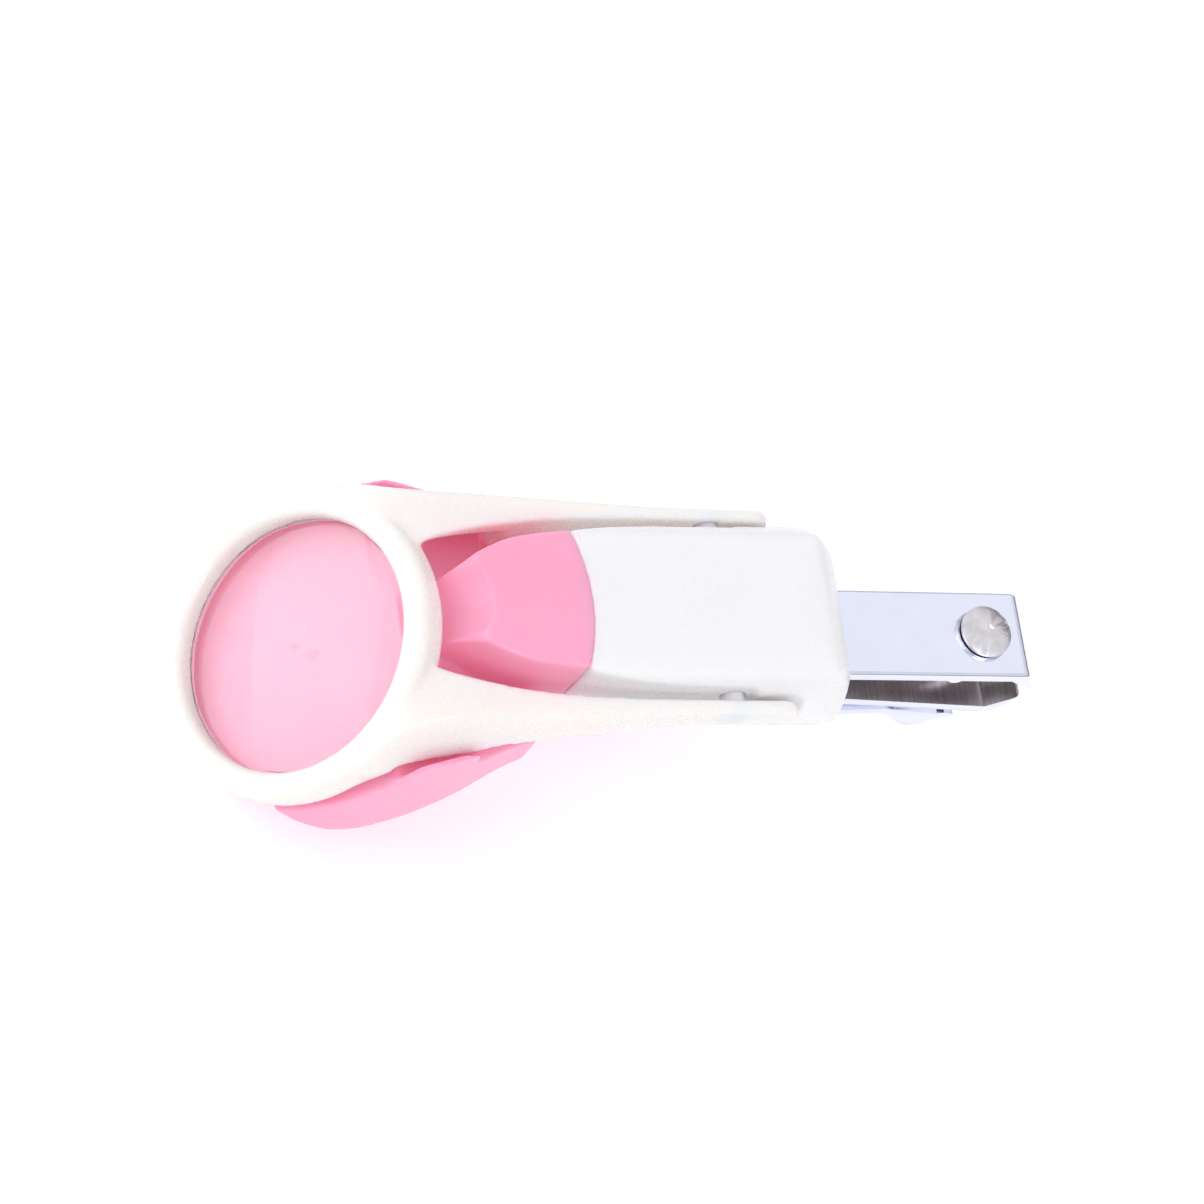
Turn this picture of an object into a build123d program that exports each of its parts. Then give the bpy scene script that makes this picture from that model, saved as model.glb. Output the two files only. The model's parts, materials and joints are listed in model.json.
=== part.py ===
from build123d import *
from math import cos, radians, sin, tan
import os

os.makedirs("parts", exist_ok=True)

# Baby nail clipper: steel lever-type clipper in a moulded handle, with a lens that flips over the jaws.
# Pieces are drawn about a datum: x runs forward to the jaws from the pivot station, y to the left,
# z up from the shoulder plane. On export they are moved so that the origin is on the surface the
# clipper lies on, below the middle of its length.
DATUM_HEIGHT = 26.2
DATUM_FORWARD = 6.1

CLEAR = 0.1          # running clearance, radial

# ---- steel clipper -------------------------------------------------------------------------
JAW_HALF = 4.75
JAW_T = 1.4
JAW_TOP = -6.45
JAW_REAR = -22.8
JAW_SLOPE = 5.8      # degrees that the front run of the lower jaw falls towards the tip
JAW_GAP = 0.2        # between the two jaws where they are riveted
JAW_BENDS = (-16.0, 19.5)
UPPER_BEND_X = 37.2
UPPER_TIP = (39.3, -10.1)
LOWER_BEND = (37.5, -16.4)
LOWER_TIP = (38.9, -12.15)
EDGE_T = 0.25        # thickness left at a cutting edge
JAW_CORNER_R = 0.6
RIVET_X = -20.0
RIVET_R = 1.5
RIVET_HEAD_R = 2.6
RIVET_HEAD_T = 0.9

PIN_X = 32.7
PIN_R = 1.5
PIN_HEAD_R = 2.8
PIN_HEAD_Z = -6.25   # underside of the head, just clear of the jaw
PIN_RIM_T = 0.5
PIN_CONE_H = 0.9
PIN_FOOT_Z = -20.9
NOTCH_Z = -18.9
NOTCH_R = 0.72
NECK_HALF = 0.8

LEVER_HALF = 4.2
LEVER_T = 1.2
LEVER_SLOPE = 4.8    # degrees that the stored lever falls towards its rear end
LEVER_FLAT_X = 26.6  # front end of the flat run
LEVER_FLAT_Z = -17.1
LEVER_REAR = -33.0
GRIP_SIDES_X = -13.0  # the finger grip closes round the lever's sides behind here
SLOT_HALF = 1.85
NUB_R = 0.6

# ---- moulded handle ------------------------------------------------------------------------
COVER_TOP = 1.06
COVER_REAR = -15.9
COVER_REAR_MID = -14.5
COVER_HALF_REAR = 7.35
COVER_HALF_FRONT = 9.0
COVER_WALL = 1.5
PARTING_Z = -9.6
BLOCK_FRONT = 14.8
BLOCK_HALF = 10.2
SHELL_BOTTOM = -15.5
CAVITY_HALF = 6.2
MOUTH_HALF = 5.25
HOUSING_SCREW_X = (-8.0, 6.0)
SCREW_R = 0.9
SCREW_HEAD_R = 1.7
SCREW_HEAD_T = 0.8

# ---- magnifier -----------------------------------------------------------------------------
PIVOT_X = 1.0
PIVOT_Z = -3.1
PIVOT_R = 1.2
RING_X = -40.6
RING_Z = -12.6
RING_TILT = 52.7     # degrees that the folded ring leans, rear edge down
RING_OUTER = 15.85
RING_INNER = 13.0
RING_HALF_T = 2.1
RING_LIP_R = 0.9     # rounding of the ring's upper inner edge
SEAT_R = 13.75
SEAT_TOP = -0.3      # height of the seat's shoulder over the ring's mid plane
LENS_R = 13.6
LENS_EDGE_T = 1.1
LENS_CAP_R = 12.7    # the crowned part stands up inside the ring, with a fine gap round it
LENS_CAP_STEP = 0.45
LENS_CROWN = 0.9
CLIP_WIDTH = 0.5
ARM_INNER = 9.65
ARM_OUTER = 11.05
ARM_TOP = -1.1
ARM_DEPTH = 4.1
ARM_FLARE_Z = -8.0   # the arms are widest at this height
ARM_FRONT = 7.8

# ---- rear body -----------------------------------------------------------------------------
HULL_FRONT = -18.4
HULL_REAR = -48.3
DECK_Z = -8.3        # floor of the channels that the arms lie in
BANK_TOP = -2.1      # inner lower edge of the arms' rear part, which is hollow below
BANK_GAP = 1.5       # the raised floor under it lies this much lower
BANK_INNER = 7.4     # distance of the floor's highest line from the mid plane
BANK_FRONT = -20.8
BANK_REAR = -33.0
SLOPE_GAP = 3.1      # the rear slope lies this far below the ring's mid plane, at the middle
SLOPE_DISH_R = 300.0
GROOVE_R = 6.6
GROOVE_DEPTH = 1.0
BODY_WALL = 1.9
HEEL_Z = -DATUM_HEIGHT
HEEL_HALF = 10.0
UNDERSIDE = ((-17.4, -11.9), (-24.0, -15.9), (-30.0, -18.4), (-36.0, -19.8), (-60.0, -20.3))
BASE_T = 2.0
BASE_FRONT = -20.6
BASE_REAR = -35.5
BODY_SCREWS = ((-23.4, 9.6), (-23.4, -9.6))

JAW_BOTTOM = JAW_TOP - JAW_T
jaw_fall = tan(radians(JAW_SLOPE))
lever_fall = tan(radians(LEVER_SLOPE))
ring_plane = Plane(
    origin=(RING_X, 0, RING_Z),
    x_dir=(cos(radians(RING_TILT)), 0, sin(radians(RING_TILT))),
    z_dir=(-sin(radians(RING_TILT)), 0, cos(radians(RING_TILT))),
)


def lower_jaw_under(x):
    """Height of the lower jaw's outer face at x: level at the rivet, then two falling runs."""
    rear_x, front_x = JAW_BENDS
    rear_z = JAW_BOTTOM - JAW_GAP - JAW_T
    if x <= rear_x:
        return rear_z
    front_z = LOWER_BEND[1] + (LOWER_BEND[0] - max(x, front_x)) * jaw_fall
    if x >= front_x:
        return front_z
    return rear_z + (front_z - rear_z) * (x - rear_x) / (front_x - rear_x)


def lever_inside(x):
    """Height of the stored lever's inner face at x, behind its knee."""
    return LEVER_FLAT_Z - (LEVER_FLAT_X - x) * lever_fall


def side_prism(points, half_width):
    """Solid with the side outline points (x, z), centred on the mid plane."""
    return extrude(Plane.XZ * make_face(Polyline(*points, close=True)), amount=half_width, both=True)


def plan_prism(face, z_low, z_high):
    """Solid with the plan outline face, between two heights."""
    return extrude(Pos(0, 0, z_low) * face, amount=z_high - z_low)


def both_sides(half_outline):
    """Face made of an open line from the mid plane round to the mid plane, and its mirror image."""
    return make_face(half_outline + mirror(half_outline, about=Plane.XZ))


def upright(x, y, radius, z_low, z_high):
    return Pos(x, y, (z_low + z_high) / 2) * Cylinder(radius, z_high - z_low)


def crosswise(x, z, radius, y_low, y_high):
    """Cylinder along y."""
    return Pos(x, (y_low + y_high) / 2, z) * Rot(90, 0, 0) * Cylinder(radius, y_high - y_low)


def block(x_low, x_high, y_low, y_high, z_low, z_high):
    size = (x_high - x_low, y_high - y_low, z_high - z_low)
    return Pos((x_low + x_high) / 2, (y_low + y_high) / 2, (z_low + z_high) / 2) * Box(*size)


def soften(solid, edges, radius):
    """Fillet the edges, or leave them sharp where the radius doesn't fit."""
    try:
        rounded = fillet(edges, radius)
    except Exception:
        print("left sharp at", radius)
        return solid
    return rounded if rounded.is_valid else solid


# ============================== steel clipper ===============================================
def jaw_strip(outline, outer_bend, inner_bend):
    """Bent strip with the side outline given, round at both sides of its bend."""
    side = make_face(Polyline(*outline, close=True))
    for (x, z), radius in ((outer_bend, JAW_T + 0.2), (inner_bend, 0.5)):
        side = fillet(side.vertices().sort_by_distance((x, z, 0))[0], radius)
    return extrude(Plane.XZ * side, amount=JAW_HALF, both=True)


def jaw_plan(tip_x):
    """Everything inside a jaw's plan outline, which has four round corners."""
    plan = Pos((JAW_REAR + tip_x) / 2, 0) * Rectangle(tip_x - JAW_REAR, 2 * JAW_HALF)
    plan = fillet(plan.vertices().group_by(Axis.X)[0], 3.0)
    plan = fillet(plan.vertices().group_by(Axis.X)[-1], JAW_CORNER_R)
    return plan_prism(plan, -30, 0)


def make_upper_jaw():
    tip_x, tip_z = UPPER_TIP
    outer_bend = (UPPER_BEND_X + 0.25, JAW_TOP)
    inner_bend = (UPPER_BEND_X - 1.4, JAW_BOTTOM)
    outline = [
        (JAW_REAR, JAW_TOP),
        outer_bend,
        (tip_x, tip_z),
        (tip_x - EDGE_T, tip_z),
        inner_bend,
        (JAW_REAR, JAW_BOTTOM),
    ]
    jaw = jaw_strip(outline, outer_bend, inner_bend)
    rim = jaw.faces().filter_by(Axis.Z).sort_by(Axis.Z)[-1].edges().filter_by(Axis.X)
    jaw = soften(jaw, rim, 0.45) & jaw_plan(tip_x)
    jaw -= upright(PIN_X, 0, PIN_R + 2 * CLEAR, JAW_BOTTOM - 1, JAW_TOP + 1)
    jaw -= upright(RIVET_X, 0, RIVET_R, JAW_BOTTOM - 1, JAW_TOP + 1)
    for x in HOUSING_SCREW_X:
        jaw -= upright(x, 0, SCREW_R + CLEAR, JAW_BOTTOM - 1, JAW_TOP + 1)
    return jaw


def make_lower_jaw():
    bend_x, bend_z = LOWER_BEND
    tip_x, tip_z = LOWER_TIP
    rear_z = lower_jaw_under(JAW_REAR)
    under = [(x, lower_jaw_under(x)) for x in JAW_BENDS]
    over = [(x, z + JAW_T) for x, z in reversed(under)]
    inner_bend = (bend_x - 1.4, lower_jaw_under(bend_x - 1.4) + JAW_T)
    outline = [
        (JAW_REAR, rear_z),
        *under,
        LOWER_BEND,
        (tip_x, tip_z),
        (tip_x - EDGE_T, tip_z),
        inner_bend,
        *over,
        (JAW_REAR, rear_z + JAW_T),
    ]
    jaw = jaw_strip(outline, LOWER_BEND, inner_bend) & jaw_plan(tip_x)
    span = (SHELL_BOTTOM - 3, JAW_BOTTOM)
    jaw -= upright(PIN_X, 0, PIN_R + 0.75, *span)
    jaw -= upright(RIVET_X, 0, RIVET_R + 0.2, *span)
    for x in HOUSING_SCREW_X:
        jaw -= upright(x, 0, SCREW_R + 1.6, *span)
    return jaw


def make_rivet():
    """Headed tube rivet. Its lower head leaves the sprung jaw room to rock."""
    low = lower_jaw_under(RIVET_X) - 0.15
    rivet = upright(RIVET_X, 0, RIVET_R, low, JAW_TOP)
    rivet += upright(RIVET_X, 0, RIVET_HEAD_R, JAW_TOP, JAW_TOP + RIVET_HEAD_T)
    rivet += upright(RIVET_X, 0, RIVET_HEAD_R, low - RIVET_HEAD_T, low)
    return soften(rivet, rivet.faces().sort_by(Axis.Z)[-1].edges(), 0.4)


def make_pin():
    """Turned pin: coned head with a centre dimple, shaft, notched neck and foot."""
    head_top = PIN_HEAD_Z + PIN_RIM_T
    outline = [
        (0, PIN_FOOT_Z),
        (PIN_R - 0.4, PIN_FOOT_Z),
        (PIN_R, PIN_FOOT_Z + 0.4),
        (PIN_R, PIN_HEAD_Z),
        (PIN_HEAD_R - 0.15, PIN_HEAD_Z),
        (PIN_HEAD_R, PIN_HEAD_Z + 0.15),
        (PIN_HEAD_R, head_top),
        (0.35, head_top + PIN_CONE_H),
        (0, head_top + PIN_CONE_H - 0.35),
    ]
    pin = Pos(PIN_X, 0, 0) * revolve(Plane.XZ * make_face(Polyline(*outline, close=True)), Axis.Z)
    for side in (-1, 1):
        low, high = sorted((side * NECK_HALF, side * 2 * PIN_R))
        pin -= crosswise(PIN_X, NOTCH_Z, NOTCH_R, low, high)
    return pin


def make_lever():
    """Sheet lever stored flat below the jaws: knee facing out with a web at each side, fork round the pin."""
    rear_in = lever_inside(LEVER_REAR)
    outline = [
        (LEVER_REAR, rear_in),
        (LEVER_FLAT_X - 1.0, lever_inside(LEVER_FLAT_X - 1.0)),
        (LEVER_FLAT_X + 0.3, LEVER_FLAT_Z - 0.3),
        (LEVER_FLAT_X + 3.1, NOTCH_Z - 1.65),
        (LEVER_FLAT_X + 4.1, NOTCH_Z - 1.6),
        (PIN_X - 0.4, NOTCH_Z + 0.5),
        (PIN_X + 0.35, NOTCH_Z + 0.75),
        (PIN_X + 1.5, NOTCH_Z + 0.45),
        (PIN_X + 1.6, NOTCH_Z - 0.35),
        (PIN_X + 0.5, NOTCH_Z - 0.6),
        (LEVER_FLAT_X + 4.9, NOTCH_Z - 2.6),
        (LEVER_FLAT_X + 3.6, NOTCH_Z - 2.95),
        (LEVER_FLAT_X + 2.6, NOTCH_Z - 2.5),
        (LEVER_FLAT_X - 0.4, LEVER_FLAT_Z - LEVER_T - 0.25),
        (LEVER_FLAT_X - 1.6, lever_inside(LEVER_FLAT_X - 1.6) - LEVER_T),
        (LEVER_REAR, rear_in - LEVER_T),
    ]
    lever = side_prism(outline, LEVER_HALF)
    slot = block(PIN_X - 1.9, PIN_X + 3, -SLOT_HALF, SLOT_HALF, NOTCH_Z - 4, NOTCH_Z + 4)
    lever -= slot
    web = [
        (LEVER_FLAT_X - 1.0, lever_inside(LEVER_FLAT_X - 1.0)),
        (PIN_X - 0.4, NOTCH_Z + 0.5),
        (LEVER_FLAT_X + 4.1, NOTCH_Z - 2.4),
        (LEVER_FLAT_X + 2.9, NOTCH_Z - 2.4),
    ]
    webs = side_prism(web, LEVER_HALF) - side_prism(web, LEVER_HALF - 0.9)
    lever += webs
    for side in (-1, 1):
        low, high = sorted((side * (NECK_HALF + CLEAR), side * (SLOT_HALF + 0.6)))
        lever += crosswise(PIN_X, NOTCH_Z, NUB_R, low, high)
    return lever


# ============================== moulded handle ==============================================
def cover_plan(inset):
    """Plan outline of the housing's waist: arched at both ends."""
    rear = ThreePointArc(
        (COVER_REAR_MID + inset, 0),
        (COVER_REAR_MID + inset - 0.37, COVER_HALF_REAR / 2),
        (COVER_REAR + inset, COVER_HALF_REAR - inset),
    )
    side = Spline(
        (COVER_REAR + inset, COVER_HALF_REAR - inset),
        (-11.0, 8.15 - inset),
        (-2.0, 8.6 - inset),
        (7.0, COVER_HALF_FRONT - inset),
    )
    nose = Polyline((7.0, COVER_HALF_FRONT - inset), (10.0, COVER_HALF_FRONT - inset), (10.0, 0))
    return both_sides(rear + side + nose)


def block_plan(turn):
    """Plan outline of the front block, bowed in front. The larger turn is, the rounder its corners."""
    half = BLOCK_HALF + 0.3
    front = BLOCK_FRONT
    edge = Polyline((3.0, 0), (3.0, half), (front - 3.0 - 4.0 * turn, half))
    corner = Spline(
        (front - 3.0 - 4.0 * turn, half),
        (front - 1.2 - 2.5 * turn, half - 0.6 - 0.8 * turn),
        (front - 0.4 - 1.3 * turn, half - 2.2 - 0.8 * turn),
        (front - 0.05 - 0.45 * turn, half - 6.5),
        (front, 0),
        tangents=[(1, 0), (0, -1)],
    )
    return both_sides(edge + corner)


def block_form():
    """Front block before its crown is rounded: its upright corners open out below."""
    rounder = block_plan(1.2)
    low, high = Pos(0, 0, -7.0) * scale(rounder, 1.2), Pos(0, 0, COVER_TOP) * scale(rounder, 0.93)
    opened = loft([low, high], ruled=True) + block(-5, 30, -30, 30, SHELL_BOTTOM, -7.0)
    return plan_prism(block_plan(0), SHELL_BOTTOM, COVER_TOP) & opened


def block_front():
    """Front view of the block: flat crown, full round shoulders, sides that draw in below."""
    half = BLOCK_HALF
    crown = Polyline((0, COVER_TOP), (6.0, COVER_TOP))
    shoulder = Spline(
        (6.0, COVER_TOP),
        (8.7, -0.5),
        (half, -4.7),
        (half - 0.75, -8.0),
        (half - 1.6, -10.6),
        (half - 3.0, -13.6),
        (half - 4.6, SHELL_BOTTOM),
        tangents=[(1, 0), (-1, -0.5)],
    )
    floor = Polyline((half - 4.6, SHELL_BOTTOM), (0, SHELL_BOTTOM), (0, COVER_TOP))
    half_face = make_face(crown + shoulder + floor)
    face = half_face + mirror(half_face, about=Plane.YZ)
    return Plane.YZ * face


def block_brow():
    """Side view of the housing: its top rolls over at the front."""
    roll = Spline(
        (9.0, COVER_TOP),
        (12.3, COVER_TOP - 0.75),
        (13.9, COVER_TOP - 2.7),
        (BLOCK_FRONT, COVER_TOP - 6.0),
        tangents=[(1, 0), (0, -1)],
    )
    rest = Polyline(
        (BLOCK_FRONT, COVER_TOP - 6.0),
        (BLOCK_FRONT, SHELL_BOTTOM),
        (-30, SHELL_BOTTOM),
        (-30, COVER_TOP),
        (9.0, COVER_TOP),
    )
    return Plane.XZ * make_face(roll + rest)


def housing_outside():
    """Cover and lower shell together, as one outer form."""
    section = extrude(block_front(), amount=60, both=True)
    section &= extrude(block_brow(), amount=30, both=True)
    waist = plan_prism(cover_plan(0), SHELL_BOTTOM, COVER_TOP) & section
    front = block_form() & section
    recess = ARM_FRONT - PIVOT_X + 0.5
    for side in (-1, 1):
        low, high = sorted((side * (COVER_HALF_FRONT + 0.1), side * 2 * BLOCK_HALF))
        front -= crosswise(PIVOT_X, PIVOT_Z, recess, low, high)
        front -= block(-1, PIVOT_X + 2.0, low, high, SHELL_BOTTOM - 1, COVER_TOP + 1)
    return waist + front


def housing_cavity():
    """Room inside the housing for the two jaws, open through the mouth at the front."""
    room = plan_prism(cover_plan(COVER_WALL), SHELL_BOTTOM + 1.3, COVER_TOP - COVER_WALL)
    room &= block(-60, 60, -CAVITY_HALF, CAVITY_HALF, -60, 60)
    mouth_low = lower_jaw_under(BLOCK_FRONT) - 0.35
    mouth = block(5, BLOCK_FRONT + 1, -MOUTH_HALF, MOUTH_HALF, mouth_low, JAW_TOP + 0.35)
    tail = block(COVER_REAR - 3, -10, -MOUTH_HALF, MOUTH_HALF, SHELL_BOTTOM + 4, JAW_TOP + 0.35)
    return room + mouth + tail


def make_front_cover(outside, cavity):
    cover = outside - block(-60, 60, -30, 30, -60, PARTING_Z) - cavity
    for side in (-1, 1):
        rib_y = side * (JAW_HALF - 0.9)
        cover += block(-12.5, 12.0, rib_y - 0.6, rib_y + 0.6, JAW_TOP, COVER_TOP - COVER_WALL)
        low, high = sorted((side * (CAVITY_HALF - 1), side * (COVER_HALF_FRONT + 1)))
        cover -= crosswise(PIVOT_X, PIVOT_Z, PIVOT_R, low, high)
    for x in HOUSING_SCREW_X:
        cover += upright(x, 0, 2.4, JAW_TOP, COVER_TOP - COVER_WALL)
        cover -= upright(x, 0, SCREW_R, JAW_TOP - 1, COVER_TOP - COVER_WALL)
    return cover


def make_lower_shell(outside, cavity):
    shell = (outside & block(-60, 60, -30, 30, -60, PARTING_Z)) - cavity
    for x in HOUSING_SCREW_X:
        shell += upright(x, 0, SCREW_R + 0.8, SHELL_BOTTOM + 0.5, JAW_BOTTOM)
        shell += upright(x, 0, SCREW_HEAD_R + 1.2, SHELL_BOTTOM + 0.5, SHELL_BOTTOM + 1.9)
        shell -= upright(x, 0, SCREW_R, SHELL_BOTTOM - 1, JAW_BOTTOM)
        shell -= upright(x, 0, SCREW_HEAD_R + CLEAR, SHELL_BOTTOM - 1, SHELL_BOTTOM + SCREW_HEAD_T + 0.1)
    return shell


def make_housing_screws():
    screws = []
    for x in HOUSING_SCREW_X:
        seat = SHELL_BOTTOM + SCREW_HEAD_T + 0.1
        screw = upright(x, 0, SCREW_R, seat, COVER_TOP - COVER_WALL - 0.8)
        screw += upright(x, 0, SCREW_HEAD_R, seat - SCREW_HEAD_T, seat)
        screw -= upright(x, 0, 0.75, seat - SCREW_HEAD_T - 1, seat - SCREW_HEAD_T + 0.5)
        screws.append(screw)
    return Compound(children=screws)


def make_pivot_pin(side):
    """Stub pin held in the housing wall by its inner flange; the lens arm turns on its outer end."""
    low, high = sorted((side * (CAVITY_HALF - 0.1), side * (ARM_OUTER - 0.55 - CLEAR)))
    pin = crosswise(PIVOT_X, PIVOT_Z, PIVOT_R, low, high)
    low, high = sorted((side * (CAVITY_HALF - 0.8), side * CAVITY_HALF))
    return pin + crosswise(PIVOT_X, PIVOT_Z, 1.9, low, high)


# ============================== rear body ===================================================
def hull_plan(grow):
    """Plan outline of the rear body, wide at the shoulders of its two wings."""
    front = Polyline((HULL_FRONT, 0), (HULL_FRONT, 11.3 + grow))
    wing = Spline(
        (HULL_FRONT, 11.3 + grow),
        (-24.5, 13.4 + grow),
        (-30.5, 15.1 + grow),
        (-36.5, 15.75 + grow),
        (-42.0, 13.9 + grow),
        (-46.6, 8.2 + grow),
        (HULL_REAR - grow / 2, 0),
        tangents=[(-1, 0.15), (0, -1)],
    )
    return both_sides(front + wing)


def hull_form(inset):
    """Outer form of the rear body before its slope and channels: walls lean out towards the base."""
    low = Pos(0, 0, -20.3) * hull_plan(1.0 - inset)
    high = Pos(0, 0, COVER_TOP) * hull_plan(-0.4 - inset)
    form = loft([low, high], ruled=True)
    side = [(x, z + inset) for x, z in UNDERSIDE]
    side += [(-60.0, -5.9 - inset), (-31.0, -5.9 - inset), (-27.5, -6.1 - inset)]
    side += [(-23.0, -6.8 - inset), (-17.4, -8.3 - inset)]
    return form & side_prism(side, 40) & block(-60, HULL_FRONT - inset, -40, 40, -60, 10)


def tongue_form(inset):
    """Thumb pad that rises from the rear body, behind the cover."""
    edge = ThreePointArc(
        (COVER_REAR_MID - inset, 0),
        (COVER_REAR_MID - inset - 0.37, COVER_HALF_REAR / 2),
        (COVER_REAR - inset, COVER_HALF_REAR - inset),
    )
    side = Spline(
        (COVER_REAR - inset, COVER_HALF_REAR - inset),
        (-19.5, 6.95 - inset),
        (-23.3, 6.1 - inset),
        (-26.5, 4.6 - inset),
        (-36.0, 3.2 - inset),
    )
    tail = Line((-36.0, 3.2 - inset), (-36.0, 0))
    return plan_prism(both_sides(edge + side + tail), DECK_Z - 4, COVER_TOP - inset)


def slope_cutter(extra):
    """Everything above the dished rear slope, with the thumb groove down its middle."""
    dish_z = SLOPE_DISH_R - SLOPE_GAP - extra
    above = ring_plane * Pos(-20, 0, 50 - SLOPE_GAP - extra) * Box(90, 80, 100)
    dish = ring_plane * Pos(0, 0, dish_z) * Rot(0, 90, 0) * Cylinder(SLOPE_DISH_R, 120)
    groove_z = GROOVE_R - SLOPE_GAP - GROOVE_DEPTH - extra
    groove = ring_plane * Pos(22, 0, groove_z) * Rot(0, 90, 0) * Cylinder(GROOVE_R, 24)
    return (above & dish) + groove


def arm_channels():
    """Channels along both sides of the thumb pad that the lens arms lie in."""
    cut = Part()
    for side in (-1, 1):
        low, high = sorted((side * 4.0, side * 13.8))
        cut += block(-35.5, HULL_FRONT + 4, low, high, DECK_Z, 10)
    arm_room = plan_prism(arm_plan(1.2), DECK_Z, 10)
    return cut + arm_room + mirror(arm_room, about=Plane.XZ)


def bank(top, front):
    """Raised floor under the wide rear part of both arms, highest at its inner side and falling outward."""
    section = Polyline(
        (2.0, DECK_Z - 2),
        (2.0, top - 0.9),
        (BANK_INNER, top),
        (13.6, top + DECK_Z - BANK_TOP),
        (13.6, DECK_Z - 2),
        close=True,
    )
    half = extrude(Plane.YZ * make_face(section), amount=60, both=True)
    side = [(BANK_REAR, DECK_Z - 2), (front - 1.2, DECK_Z - 2), (front, 0), (BANK_REAR, 0)]
    return (half + mirror(half, about=Plane.XZ)) & side_prism(side, 30)


def heel_form(inset):
    """Foot below the rear end that the clipper stands on."""
    foot = Pos(-42.9, 0, HEEL_Z) * Ellipse(5.3 - inset, HEEL_HALF - inset)
    neck = Pos(-41.5, 0, -19.5) * Ellipse(6.4 - inset, HEEL_HALF + 3.4 - inset)
    return loft([foot, neck], ruled=True)


def make_rear_body():
    body = hull_form(0) - arm_channels() + tongue_form(0)
    body += bank(BANK_TOP - BANK_GAP, BANK_FRONT - 0.4) & hull_form(0)
    body += heel_form(0)
    body -= slope_cutter(0)
    room = hull_form(BODY_WALL) & block(-60, 60, -40, 40, -60, DECK_Z - BODY_WALL)
    room -= slope_cutter(BODY_WALL)
    nest = block(JAW_REAR - 0.8, -10, -MOUTH_HALF, MOUTH_HALF, -11.5, JAW_TOP + RIVET_HEAD_T + 0.35)
    floor = base_form(0)
    body -= room + nest
    body -= floor
    for x, y in BODY_SCREWS:
        seat = underside(x) + BASE_T
        post = upright(x, y, 1.9, seat - 1, DECK_Z - 1) - base_form(0)
        body += post
        body -= upright(x, y, 0.8, seat - 1, DECK_Z - 1.2)
    return body


def underside(x):
    """Height of the rear body's underside at x."""
    for (front_x, front_z), (rear_x, rear_z) in zip(UNDERSIDE, UNDERSIDE[1:]):
        if x >= rear_x:
            return rear_z + (front_z - rear_z) * (x - rear_x) / (front_x - rear_x)


def base_form(gap):
    """Plate let into the underside of the rear body."""
    plate = plan_prism(hull_plan(-BODY_WALL + 0.4 - gap), -30, 0)
    front, rear = BASE_FRONT - gap, BASE_REAR + gap
    stations = [front, -24.0, -30.0, rear]
    side = [(x, underside(x) + BASE_T - gap) for x in stations]
    side += [(rear, -30), (front, -30)]
    return plate & side_prism(side, 40)


def make_rear_base():
    base = base_form(0.1) & hull_form(0)
    for x, y in BODY_SCREWS:
        base -= upright(x, y, 0.9, -30, 0)
        base -= upright(x, y, 1.6, -30, underside(x) + BASE_T - 0.9)
    return base


def make_body_screws():
    screws = []
    for x, y in BODY_SCREWS:
        seat = underside(x) + BASE_T - 0.9
        screw = upright(x, y, 0.8, seat, DECK_Z - 1.5)
        screw += upright(x, y, 1.5, seat - 0.7, seat)
        screw -= upright(x, y, 0.65, seat - 2, seat - 0.3)
        screws.append(screw)
    return Compound(children=screws)


# ============================== lever grip ==================================================
def grip_plan():
    """Plan outline of the finger grip: a drop, widest near its rear."""
    return both_sides(Spline(
        (1.0, 0),
        (-6.0, 3.7),
        (-12.0, 4.8),
        (-17.0, 6.6),
        (-21.5, 8.3),
        (-25.5, 9.0),
        (-31.5, 7.2),
        (LEVER_REAR - 1.6, 0),
        tangents=[(0, 1), (0, -1)],
    ))


def make_lever_grip():
    """Wedge-shaped finger grip moulded round the rear of the lever; its flat face is the clipper's foot."""
    side = [
        (3.0, lever_inside(3.0) - LEVER_T),
        (-1.0, HEEL_Z),
        (-40.0, HEEL_Z),
        (-40.0, lever_inside(-40.0) + 0.1),
        (GRIP_SIDES_X, lever_inside(GRIP_SIDES_X) + 0.1),
        (GRIP_SIDES_X, lever_inside(GRIP_SIDES_X) - LEVER_T),
    ]
    grip = plan_prism(grip_plan(), HEEL_Z, -15) & side_prism(side, 20)
    pocket = [
        (LEVER_REAR, lever_inside(LEVER_REAR) + 1),
        (8.0, lever_inside(8.0) + 1),
        (8.0, lever_inside(8.0) - LEVER_T),
        (LEVER_REAR, lever_inside(LEVER_REAR) - LEVER_T),
    ]
    return grip - side_prism(pocket, LEVER_HALF)


# ============================== magnifier ===================================================
def arm_plan(flare):
    """Plan outline of one arm: slender at the pivot, widening into the ring, more so low down."""
    outer = Spline(
        (ARM_FRONT, ARM_OUTER),
        (-4.0, ARM_OUTER + 0.05),
        (-14.0, 11.5 + 0.3 * flare),
        (-23.0, 11.9 + 0.8 * flare),
        (-29.5, 12.1 + 1.9 * flare),
        (-35.0, 12.6 + 2.5 * flare),
        (-42.0, 14.3 + 1.3 * flare),
        tangents=[(-1, 0), (-1, 0.2)],
    )
    inner = Spline(
        (ARM_FRONT, ARM_INNER),
        (-8.0, ARM_INNER),
        (-15.0, 9.45),
        (-21.5, 8.8),
        (-27.5, 7.7),
        (-33.0, 5.4),
        tangents=[(-1, 0), (-0.7, -0.7)],
    )
    front = Line((ARM_FRONT, ARM_INNER), (ARM_FRONT, ARM_OUTER))
    return make_face(outer + inner + front + Line((-42.0, 14.3 + 1.3 * flare), (-33.0, 5.4)))


def on_ring(along, above):
    """Datum (x, z) of a point in the ring's own frame: along its slope, above its mid plane."""
    spot = ring_plane.from_local_coords(Vector(along, 0, above))
    return spot.X, spot.Z


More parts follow.
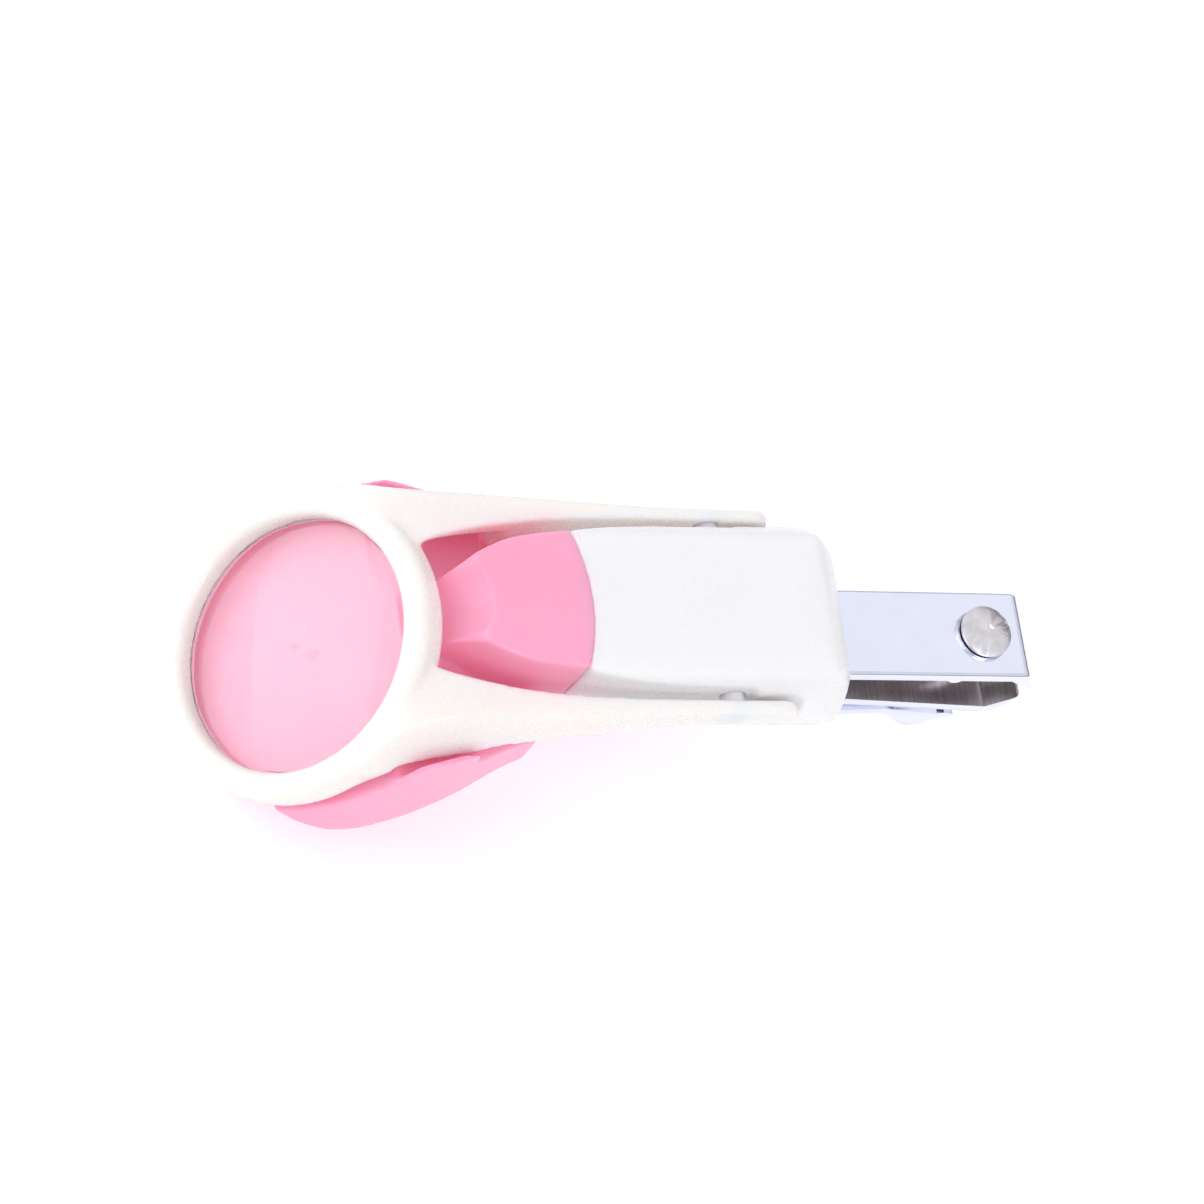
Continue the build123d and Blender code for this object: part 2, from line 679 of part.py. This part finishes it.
def arm_side():
    """Side outline of the arms: level, then following the ring down its slope."""
    lip = RING_HALF_T
    tip_r = ARM_DEPTH / 2
    tip_x = ARM_FRONT - tip_r
    low = ARM_TOP - ARM_DEPTH
    top = Spline(
        (tip_x, ARM_TOP),
        (-10.0, ARM_TOP),
        (-24.0, ARM_TOP + 0.1),
        (-30.5, ARM_TOP + 0.15),
        on_ring(10.8, lip),
        tangents=[(-1, 0), (-0.61, -0.79)],
    )
    ridge = Line(on_ring(10.8, lip), on_ring(-1.0, lip))
    end = Line(on_ring(-1.0, lip), on_ring(-1.0, -lip))
    keel = Line(on_ring(-1.0, -lip), on_ring(8.0, -lip))
    under = Spline(
        on_ring(8.0, -lip),
        (-28.0, -7.6),
        (-20.0, -7.1),
        (-11.0, -6.0),
        (-2.0, low),
        (tip_x, low),
        tangents=[(0.7, 0.3), (1, 0)],
    )
    nose = ThreePointArc((tip_x, low), (ARM_FRONT, ARM_TOP - tip_r), (tip_x, ARM_TOP))
    return Plane.XZ * make_face(top + ridge + end + keel + under + nose)


def ring_bore():
    """The hole in the ring, with a mouth that leaves the ring's upper inner edge round."""
    mouth_z = RING_HALF_T - RING_LIP_R
    wide = RING_INNER + RING_LIP_R
    side = Polyline(
        (wide, RING_HALF_T),
        (wide, 20),
        (0, 20),
        (0, -20),
        (RING_INNER, -20),
        (RING_INNER, mouth_z),
    )
    lip = ThreePointArc(
        (RING_INNER, mouth_z),
        (wide - RING_LIP_R * cos(radians(45)), mouth_z + RING_LIP_R * sin(radians(45))),
        (wide, RING_HALF_T),
    )
    return revolve(Plane.XZ * make_face(side + lip), Axis.Z)


def make_magnifier_frame():
    """Ring and both arms, one moulding; each arm has a blind eye on its inner face."""
    arms = extrude(arm_side(), amount=30, both=True)
    arm = loft([Pos(0, 0, ARM_FLARE_Z) * arm_plan(1), Pos(0, 0, ARM_TOP + 3) * arm_plan(-0.4)], ruled=True)
    arm += plan_prism(arm_plan(1), -20, ARM_FLARE_Z)
    arms &= arm + mirror(arm, about=Plane.XZ)
    arms -= bank(BANK_TOP, BANK_FRONT)
    ring =Cylinder(RING_OUTER, 2 * RING_HALF_T)
    ring = soften(ring, ring.edges(), 1.15)
    frame = arms + ring_plane * ring
    frame -= ring_plane * ring_bore()
    seat_height = SEAT_TOP + RING_HALF_T + 10
    frame -= ring_plane * Pos(0, 0, SEAT_TOP - seat_height / 2) * Cylinder(SEAT_R, seat_height)
    for side in (-1, 1):
        low, high = sorted((side * (ARM_INNER - 1), side * (ARM_OUTER - 0.55)))
        frame -= crosswise(PIVOT_X, PIVOT_Z, PIVOT_R + CLEAR / 2, low, high)
    return frame


def make_lens():
    """Plano-convex lens: flat below, crowned above, with a flange that the ring's shoulder holds."""
    edge_top = SEAT_TOP - 0.02
    edge_low = edge_top - LENS_EDGE_T
    cap_t = LENS_CAP_STEP + LENS_CROWN
    crown_r = (LENS_CAP_R**2 + LENS_CROWN**2) / (2 * LENS_CROWN)
    flange = Pos(0, 0, (edge_low + edge_top) / 2) * Cylinder(LENS_R, LENS_EDGE_T)
    cap = Pos(0, 0, edge_top + cap_t / 2) * Cylinder(LENS_CAP_R, cap_t)
    ball = Pos(0, 0, edge_top + cap_t - crown_r) * Sphere(crown_r)
    return ring_plane * (flange + (cap & ball))


def make_lens_clip():
    """Snap ring that holds the lens in its seat from below."""
    top = SEAT_TOP - 0.02 - LENS_EDGE_T
    low = -RING_HALF_T + 0.1
    clip = Pos(0, 0, (top + low) / 2) * Cylinder(SEAT_R, top - low)
    clip -= Cylinder(SEAT_R - CLIP_WIDTH, 10)
    return ring_plane * clip


# ============================== export ======================================================
outside = housing_outside()
cavity = housing_cavity()
pieces = {
    "front_cover": make_front_cover(outside, cavity),
    "lower_shell": make_lower_shell(outside, cavity),
    "housing_screws": make_housing_screws(),
    "pivot_pin_left": make_pivot_pin(1),
    "pivot_pin_right": make_pivot_pin(-1),
    "rear_body": make_rear_body(),
    "rear_base": make_rear_base(),
    "body_screws": make_body_screws(),
    "upper_jaw": make_upper_jaw(),
    "lower_jaw": make_lower_jaw(),
    "jaw_rivet": make_rivet(),
    "lever_pin": make_pin(),
    "lever_plate": make_lever(),
    "lever_grip": make_lever_grip(),
    "magnifier_frame": make_magnifier_frame(),
    "magnifier_lens": make_lens(),
    "lens_clip": make_lens_clip(),
}

to_object = Pos(DATUM_FORWARD, 0, DATUM_HEIGHT)
for node, piece in pieces.items():
    export_step(to_object * piece, f"parts/{node}.step")
everything = Compound(children=[to_object * piece for piece in pieces.values()]).bounding_box()
print("box", everything.min, everything.max)
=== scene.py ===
import json
from math import cos, radians, sin

import bpy
from mathutils import Matrix, Vector


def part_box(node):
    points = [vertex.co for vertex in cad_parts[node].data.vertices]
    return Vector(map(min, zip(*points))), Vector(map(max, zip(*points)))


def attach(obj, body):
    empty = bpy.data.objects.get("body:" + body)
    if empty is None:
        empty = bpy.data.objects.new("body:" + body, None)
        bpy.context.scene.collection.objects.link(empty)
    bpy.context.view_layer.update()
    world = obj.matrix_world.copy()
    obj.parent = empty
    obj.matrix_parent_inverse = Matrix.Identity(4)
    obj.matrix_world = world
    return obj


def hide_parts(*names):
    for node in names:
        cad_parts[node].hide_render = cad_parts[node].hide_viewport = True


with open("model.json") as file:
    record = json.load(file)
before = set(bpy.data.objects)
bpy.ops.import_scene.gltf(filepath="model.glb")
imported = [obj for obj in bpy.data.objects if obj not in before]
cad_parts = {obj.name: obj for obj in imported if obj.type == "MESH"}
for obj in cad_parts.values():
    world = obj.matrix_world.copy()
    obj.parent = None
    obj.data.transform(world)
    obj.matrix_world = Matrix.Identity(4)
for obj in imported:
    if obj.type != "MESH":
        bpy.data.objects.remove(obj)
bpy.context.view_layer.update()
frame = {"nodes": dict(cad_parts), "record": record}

MM = 0.001

# ---- view ---------------------------------------------------------------------------------
CAMERA_AZIMUTH = -138.415     # degrees from +X, where the camera stands
CAMERA_ELEVATION = 57.374
CAMERA_ROLL = 44.572
CAMERA_TARGET = Vector((-1.701, 4.784, 15.0)) * MM
CAMERA_DISTANCE = 506.85 * MM
CAMERA_LENS = 149.5           # focal length in mm, on a sensor 36 mm wide
CAMERA_SENSOR = 36

# ---- studio -------------------------------------------------------------------------------
FLOOR_REACH = 2.0             # metres from the middle to each side
FLOOR_WHITE = (0.86, 0.86, 0.86, 1)
FLOOR_GLOW = 0.30
SKY_COLOUR = (0.97, 0.975, 1.0, 1)
SKY_HORIZON = 0.14            # brightness up to the first of SKY_HEIGHTS
SKY_OVERHEAD = 0.80           # brightness from the second of them upwards
SKY_HEIGHTS = (0.05, 0.40)    # sines of the two elevations
VEIL_TOWARDS = (-0.917, 0.358, 0.164)     # what the lens mirrors to the camera
VEIL_EDGE = 0.93              # cosine of the angle where the bright patch round it ends
VEIL_GLOW = 1.6
LAMPS = {
    # name: (place in metres, diameter in metres, power in watts), each aimed at the origin
    "key": ((-0.75, 0.27, 0.45), 1.1, 2.6),
    "fill": ((0.10, -0.60, 0.60), 0.5, 1.5),
    "top": ((0.40, 0.36, 0.84), 0.8, 0.3),
}

# ---- pieces -------------------------------------------------------------------------------
SKIN_PITCH = 0.2 * MM         # size of the mesh that moulded pieces are rebuilt in
SKIN_PASSES = {
    # smoothing passes: the more, the rounder the edges
    "front_cover": 16,
    "lower_shell": 10,
    "rear_body": 14,
    "rear_base": 4,
    "lever_grip": 16,
    "magnifier_frame": 24,
}
STEEL_EDGE = {
    # width of the small break along each edge
    "upper_jaw": 0.12 * MM,
    "lower_jaw": 0.10 * MM,
    "lever_plate": 0.12 * MM,
    "lever_pin": 0.05 * MM,
    "jaw_rivet": 0.08 * MM,
}
WELD_WITHIN = 0.001 * MM
FLAT_WITHIN = radians(0.5)    # faces that turn less are merged into one flat
SHARP_BEYOND = radians(28)    # edges that turn more get a break
SPECK_TONE = 0.55             # of the plastic's darker shade
JAW_SHEET = 1.4 * MM
upper_jaw_low, upper_jaw_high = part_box("upper_jaw")
lower_jaw_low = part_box("lower_jaw")[0]
MOUTH_TOP = upper_jaw_high.z - JAW_SHEET            # underside of the upper jaw
MOUTH_TIP = upper_jaw_low.z                         # lowest edge of the upper jaw
MOUTH_FLOOR = lower_jaw_low.z + 0.75 * JAW_SHEET    # between the lower jaw's two faces at its bend
FACES_UP = 0.6                # least z of the normal of the lower jaw's inner face
FACES_DOWN = -0.3             # greatest z of the normal of the upper jaw's inner face
GROUND_ROUGHNESS = 0.18       # what the grinding of those two faces adds


# ============================== materials ==================================================
class Paint:
    """One procedural material: a Principled shader and short calls that build what feeds it."""

    def __init__(self, name):
        self.material = bpy.data.materials.new(name)
        self.material.use_nodes = True
        tree = self.material.node_tree
        self.nodes, self.links = tree.nodes, tree.links
        self.nodes.clear()
        self.out = self.nodes.new("ShaderNodeOutputMaterial")
        self.shader = self.nodes.new("ShaderNodeBsdfPrincipled")
        self.links.new(self.shader.outputs[0], self.out.inputs[0])
        self.coordinates = self.nodes.new("ShaderNodeTexCoord")
        self.at = self.coordinates.outputs["Object"]

    def set(self, **values):
        for name, value in values.items():
            self.shader.inputs[name.replace("_", " ")].default_value = value

    def noise(self, size, detail=3.0, rough=0.5, stretch=(1, 1, 1)):
        """Noise whose features are about size metres across."""
        place = self.nodes.new("ShaderNodeMapping")
        place.inputs["Scale"].default_value = stretch
        self.links.new(self.at, place.inputs["Vector"])
        node = self.nodes.new("ShaderNodeTexNoise")
        node.inputs["Scale"].default_value = 1 / size
        node.inputs["Detail"].default_value = detail
        node.inputs["Roughness"].default_value = rough
        self.links.new(place.outputs[0], node.inputs["Vector"])
        return node.outputs["Fac"]

    def spread(self, value, low, high, start=0.3, end=0.7):
        """value from start..end mapped to low..high."""
        node = self.nodes.new("ShaderNodeMapRange")
        node.inputs["From Min"].default_value = start
        node.inputs["From Max"].default_value = end
        node.inputs["To Min"].default_value = low
        node.inputs["To Max"].default_value = high
        self.links.new(value, node.inputs["Value"])
        return node.outputs[0]

    def math(self, kind, a, b):
        node = self.nodes.new("ShaderNodeMath")
        node.operation = kind
        for socket, value in zip(node.inputs, (a, b)):
            if isinstance(value, (int, float)):
                socket.default_value = value
            else:
                self.links.new(value, socket)
        return node.outputs[0]

    def part(self, vector, axis):
        node = self.nodes.new("ShaderNodeSeparateXYZ")
        self.links.new(vector, node.inputs[0])
        return node.outputs[axis]

    def specks(self, apart, radius, bare=0.65):
        """1 on small dots in cells apart metres across, about the share bare of them empty."""
        node = self.nodes.new("ShaderNodeTexVoronoi")
        node.inputs["Scale"].default_value = 1 / apart
        self.links.new(self.at, node.inputs["Vector"])
        near = self.math("LESS_THAN", node.outputs["Distance"], radius / apart)
        chosen = self.math("GREATER_THAN", self.part(node.outputs["Color"], "X"), bare)
        return self.math("MULTIPLY", near, chosen)

    def tint(self, value, low, high):
        """Colour between low and high, each a colour or a source of one, by value."""
        node = self.nodes.new("ShaderNodeMix")
        node.data_type = "RGBA"
        self.links.new(value, node.inputs[0])
        for socket, colour in zip((node.inputs[6], node.inputs[7]), (low, high)):
            if isinstance(colour, tuple):
                socket.default_value = (*colour, 1)
            else:
                self.links.new(colour, socket)
        return node.outputs[2]

    def colour(self, source):
        self.links.new(source, self.shader.inputs["Base Color"])

    def rough(self, source):
        self.links.new(source, self.shader.inputs["Roughness"])

    def bumps(self, *layers):
        """Layers of (height source, depth in metres), one above the other."""
        normal = None
        for height, depth in layers:
            node = self.nodes.new("ShaderNodeBump")
            node.inputs["Strength"].default_value = 1.0
            node.inputs["Distance"].default_value = depth
            self.links.new(height, node.inputs["Height"])
            if normal:
                self.links.new(normal, node.inputs["Normal"])
            normal = node.outputs[0]
        self.links.new(normal, self.shader.inputs["Normal"])


def moulded_plastic(name, colour, shade, roughness, glow, reach):
    """Moulded plastic: faint flow clouding, specks, fine spark-eroded grain and slow sink waves.

    glow is the share of light that enters the surface, and reach is how far red, green and blue
    wander below it, in mm.
    """
    paint = Paint(name)
    clouds = paint.noise(9 * MM, detail=2)
    body = paint.tint(paint.spread(clouds, 0, 1), shade, colour)
    dirt = tuple(SPECK_TONE * c for c in shade)
    paint.colour(paint.tint(paint.specks(5.5 * MM, 0.14 * MM), body, dirt))
    grain = paint.noise(0.16 * MM, detail=2)
    waves = paint.noise(4 * MM, detail=1)
    paint.rough(paint.spread(grain, roughness - 0.05, roughness + 0.05))
    paint.bumps((waves, 0.010 * MM), (grain, 0.0025 * MM))
    paint.set(IOR=1.5, Subsurface_Weight=glow, Subsurface_Scale=MM, Subsurface_Radius=reach)
    return paint


def cover_plastic():
    return moulded_plastic(
        "cover_plastic",
        colour=(0.93, 0.92, 0.955),
        shade=(0.915, 0.905, 0.94),
        roughness=0.30,
        glow=0.8,
        reach=(1.5, 1.4, 1.3),
    )


def ivory_plastic():
    return moulded_plastic(
        "ivory_plastic",
        colour=(0.905, 0.875, 0.862),
        shade=(0.89, 0.857, 0.838),
        roughness=0.26,
        glow=0.9,
        reach=(2.4, 1.6, 0.9),
    )


def pink_plastic():
    """Translucent pink. Its faint red glow stands for light that thin walls pass into hollows."""
    paint = moulded_plastic(
        "pink_plastic",
        colour=(0.995, 0.44, 0.62),
        shade=(0.99, 0.42, 0.60),
        roughness=0.42,
        glow=1.0,
        reach=(2.2, 0.30, 0.45),
    )
    # Painted glow: the whole part gives off a weak red light of its own.
    paint.set(Emission_Color=(1, 0.03, 0.06, 1), Emission_Strength=0.09)
    return paint


def chrome_plate():
    """Nickel-chrome with faint scratches and smears, and ground steel between the jaws whose darker
    colour is partly its own and partly painted shade.
    """
    paint = Paint("chrome_plate")
    scratches = paint.noise(0.5 * MM, detail=3, stretch=(0.06, 1, 1))
    smears = paint.noise(3.5 * MM, detail=3, rough=0.6)
    ground = paint.noise(0.22 * MM, detail=3, stretch=(1, 0.03, 1))
    height = paint.part(paint.at, "Z")
    facing = paint.part(paint.coordinates.outputs["Normal"], "Z")
    lower_face = paint.math("GREATER_THAN", facing, FACES_UP)
    lower_face = paint.math("MULTIPLY", lower_face, paint.math("LESS_THAN", height, MOUTH_TOP))
    above_floor = paint.math("GREATER_THAN", height, MOUTH_FLOOR)
    lower_face = paint.math("MULTIPLY", lower_face, above_floor)
    upper_face = paint.math("LESS_THAN", facing, FACES_DOWN)
    upper_face = paint.math("MULTIPLY", upper_face, paint.math("GREATER_THAN", height, MOUTH_TIP))
    inner = paint.math("MAXIMUM", lower_face, upper_face)
    plate = paint.tint(paint.spread(smears, 0, 1), (0.80, 0.82, 0.945), (0.83, 0.85, 0.975))
    # Ground steel between the jaws: its own darker tone, deepened further as painted shade for the
    # shade that falls between the jaws.
    steel = paint.tint(paint.spread(ground, 0, 1), (0.37, 0.335, 0.35), (0.49, 0.45, 0.465))
    paint.colour(paint.tint(inner, plate, steel))
    sheen = paint.spread(smears, 0.07, 0.13)
    polish = paint.math("ADD", sheen, paint.spread(scratches, 0.0, 0.05))
    paint.rough(paint.math("ADD", polish, paint.math("MULTIPLY", inner, GROUND_ROUGHNESS)))
    lines = paint.math("MULTIPLY", ground, inner)
    paint.bumps((smears, 0.006 * MM), (scratches, 0.0008 * MM), (lines, 0.002 * MM))
    paint.set(Metallic=1.0)
    return paint


def turned_steel():
    """Lathe-turned steel: fine rings round the pin's axis, with the sheen that follows them."""
    paint = Paint("turned_steel")
    low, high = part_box("lever_pin")
    centre = (low + high) / 2
    place = paint.nodes.new("ShaderNodeMapping")
    place.inputs["Location"].default_value = (-centre.x, -centre.y, 0)
    paint.links.new(paint.at, place.inputs["Vector"])
    rings = paint.nodes.new("ShaderNodeTexWave")
    rings.wave_type = "RINGS"
    rings.rings_direction = "Z"
    rings.inputs["Scale"].default_value = 1 / (1.4 * MM)
    rings.inputs["Distortion"].default_value = 0.8
    rings.inputs["Detail"].default_value = 2
    paint.links.new(place.outputs[0], rings.inputs["Vector"])
    smears = paint.noise(1.2 * MM, detail=3)
    paint.colour(paint.tint(paint.spread(smears, 0, 1), (0.76, 0.73, 0.76), (0.90, 0.87, 0.91)))
    paint.rough(paint.spread(smears, 0.22, 0.34))
    paint.bumps((rings.outputs["Fac"], 0.0012 * MM))
    round_axis = paint.nodes.new("ShaderNodeTangent")
    round_axis.direction_type = "RADIAL"
    round_axis.axis = "Z"
    paint.links.new(round_axis.outputs[0], paint.shader.inputs["Tangent"])
    paint.set(Metallic=1.0, Anisotropic=0.75)
    return paint


def screw_steel():
    """Plain plated steel of the screws and the rivet, faintly smeared."""
    paint = Paint("plated_steel")
    smears = paint.noise(0.7 * MM, detail=3)
    paint.colour(paint.tint(paint.spread(smears, 0, 1), (0.60, 0.60, 0.61), (0.72, 0.72, 0.73)))
    paint.rough(paint.spread(smears, 0.18, 0.32))
    paint.bumps((smears, 0.003 * MM))
    paint.set(Metallic=1.0)
    return paint


def lens_glass():
    """Clear moulded lens. Lamps' rays pass straight through, so what is behind it stays lit."""
    paint = Paint("lens_clear")
    haze = paint.noise(5 * MM, detail=2)
    paint.rough(paint.spread(haze, 0.0, 0.02))
    paint.set(Transmission_Weight=1.0, IOR=1.49)
    paint.set(Base_Color=(0.985, 0.99, 0.99, 1))
    clear = paint.nodes.new("ShaderNodeBsdfTransparent")
    path = paint.nodes.new("ShaderNodeLightPath")
    pick = paint.nodes.new("ShaderNodeMixShader")
    paint.links.new(path.outputs["Is Shadow Ray"], pick.inputs[0])
    paint.links.new(paint.shader.outputs[0], pick.inputs[1])
    paint.links.new(clear.outputs[0], pick.inputs[2])
    paint.links.new(pick.outputs[0], paint.out.inputs[0])
    return paint


PAINTS = {
    "cover": cover_plastic(),
    "pink": pink_plastic(),
    "ivory": ivory_plastic(),
    "chrome_jaw": chrome_plate(),
    "turned_pin": turned_steel(),
    "screw_steel": screw_steel(),
    "lens": lens_glass(),
}
slot_of = {part["node"]: part["material_slot"] for part in frame["record"]["subparts"]}
bodies = frame["record"]["behaviour"]["bodies"]
body_of = {node: body for body, nodes in bodies.items() for node in nodes}


def dress(piece, node):
    """Give the piece the material of the node's slot."""
    piece.data.materials.clear()
    piece.data.materials.append(PAINTS[slot_of[node]].material)


for node, piece in frame["nodes"].items():
    dress(piece, node)


# ============================== pieces =====================================================
def bake(piece):
    """Work the piece's modifiers into its mesh."""
    view = bpy.context.evaluated_depsgraph_get()
    mesh = bpy.data.meshes.new_from_object(piece.evaluated_get(view))
    piece.modifiers.clear()
    piece.data = mesh


def shade_smooth(piece):
    for face in piece.data.polygons:
        face.use_smooth = True


def stand_in(node, suffix):
    """Copy of a CAD node that takes its place."""
    piece = bpy.data.objects.new(f"{node}_{suffix}", frame["nodes"][node].data.copy())
    bpy.context.scene.collection.objects.link(piece)
    return piece


def settle(piece, node):
    """Put the finished piece in the node's place, on the node's body."""
    dress(piece, node)
    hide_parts(node)
    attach(piece, body_of[node])


def moulded_skin(node, passes):
    """The node with the small radii that a mould leaves on every edge."""
    piece = stand_in(node, "skin")
    remesh = piece.modifiers.new("rebuild", "REMESH")
    remesh.mode = "VOXEL"
    remesh.voxel_size = SKIN_PITCH
    relax = piece.modifiers.new("relax", "SMOOTH")
    relax.factor = 0.5
    relax.iterations = passes
    bake(piece)
    shade_smooth(piece)
    settle(piece, node)


def steel_piece(node, width):
    """The node with the small breaks that finishing leaves on every edge."""
    piece = stand_in(node, "finished")
    shade_smooth(piece)
    weld = piece.modifiers.new("weld", "WELD")
    weld.merge_threshold = WELD_WITHIN
    flats = piece.modifiers.new("flats", "DECIMATE")
    flats.decimate_type = "DISSOLVE"
    flats.angle_limit = FLAT_WITHIN
    edges = piece.modifiers.new("edges", "BEVEL")
    edges.width = width
    edges.segments = 3
    edges.limit_method = "ANGLE"
    edges.angle_limit = SHARP_BEYOND
    edges.harden_normals = True
    bake(piece)
    settle(piece, node)


for node, passes in SKIN_PASSES.items():
    moulded_skin(node, passes)
for node, width in STEEL_EDGE.items():
    steel_piece(node, width)


# ============================== floor, light, camera =======================================
def make_floor():
    mesh = bpy.data.meshes.new("floor")
    signs = ((-1, -1), (1, -1), (1, 1), (-1, 1))
    corners = [(x * FLOOR_REACH, y * FLOOR_REACH, 0) for x, y in signs]
    mesh.from_pydata(corners, [], [(0, 1, 2, 3)])
    floor = bpy.data.objects.new("floor", mesh)
    bpy.context.scene.collection.objects.link(floor)
    paint = Paint("floor_paper")
    paint.set(Base_Color=FLOOR_WHITE, Roughness=0.9)
    paint.set(Emission_Color=(1, 1, 1, 1), Emission_Strength=FLOOR_GLOW)
    mesh.materials.append(paint.material)


def make_lamp(name, place, size, power):
    lamp = bpy.data.lights.new(name, "AREA")
    lamp.shape = "DISK"
    lamp.size = size
    lamp.energy = power
    holder = bpy.data.objects.new(name, lamp)
    holder.location = place
    holder.rotation_euler = (-Vector(place)).to_track_quat("-Z", "Y").to_euler()
    bpy.context.scene.collection.objects.link(holder)


def make_world():
    """Studio tent: white overhead, dim at the horizon, with a soft bright patch low at the rear."""
    world = bpy.data.worlds.new("studio")
    world.use_nodes = True
    nodes, links = world.node_tree.nodes, world.node_tree.links
    direction = nodes.new("ShaderNodeTexCoord").outputs["Generated"]

    def ramp(value, start, end, low, high):
        node = nodes.new("ShaderNodeMapRange")
        node.interpolation_type = "SMOOTHSTEP"
        for socket, number in zip(node.inputs[1:5], (start, end, low, high)):
            socket.default_value = number
        links.new(value, node.inputs["Value"])
        return node.outputs[0]

    height = nodes.new("ShaderNodeSeparateXYZ")
    links.new(direction, height.inputs[0])
    sky = ramp(height.outputs["Z"], *SKY_HEIGHTS, SKY_HORIZON, SKY_OVERHEAD)
    nearness = nodes.new("ShaderNodeVectorMath")
    nearness.operation = "DOT_PRODUCT"
    nearness.inputs[1].default_value = VEIL_TOWARDS
    links.new(direction, nearness.inputs[0])
    veil = ramp(nearness.outputs["Value"], VEIL_EDGE, 1, 0, VEIL_GLOW)
    total = nodes.new("ShaderNodeMath")
    total.operation = "ADD"
    links.new(sky, total.inputs[0])
    links.new(veil, total.inputs[1])
    back = nodes["Background"]
    back.inputs["Color"].default_value = SKY_COLOUR
    links.new(total.outputs[0], back.inputs["Strength"])
    bpy.context.scene.world = world


def make_camera():
    """Camera that looks at CAMERA_TARGET, rolled about its own line of sight."""
    turn, lift, roll = (radians(a) for a in (CAMERA_AZIMUTH, CAMERA_ELEVATION, CAMERA_ROLL))
    back = Vector((cos(lift) * cos(turn), cos(lift) * sin(turn), sin(lift)))
    level = Vector((-sin(turn), cos(turn), 0))
    rise = back.cross(level)
    right = cos(roll) * level + sin(roll) * rise
    up = cos(roll) * rise - sin(roll) * level
    camera = bpy.data.cameras.new("camera")
    camera.lens = CAMERA_LENS
    camera.sensor_width = CAMERA_SENSOR
    camera.clip_start, camera.clip_end = 0.01, 10
    holder = bpy.data.objects.new("camera", camera)
    holder.matrix_world = Matrix.LocRotScale(
        CAMERA_TARGET + CAMERA_DISTANCE * back,
        Matrix((right, up, back)).transposed().to_quaternion(),
        None,
    )
    bpy.context.scene.collection.objects.link(holder)
    bpy.context.scene.camera = holder


make_floor()
make_world()
for name, lamp in LAMPS.items():
    make_lamp(name, *lamp)
make_camera()
bpy.context.scene.view_settings.view_transform = "Standard"
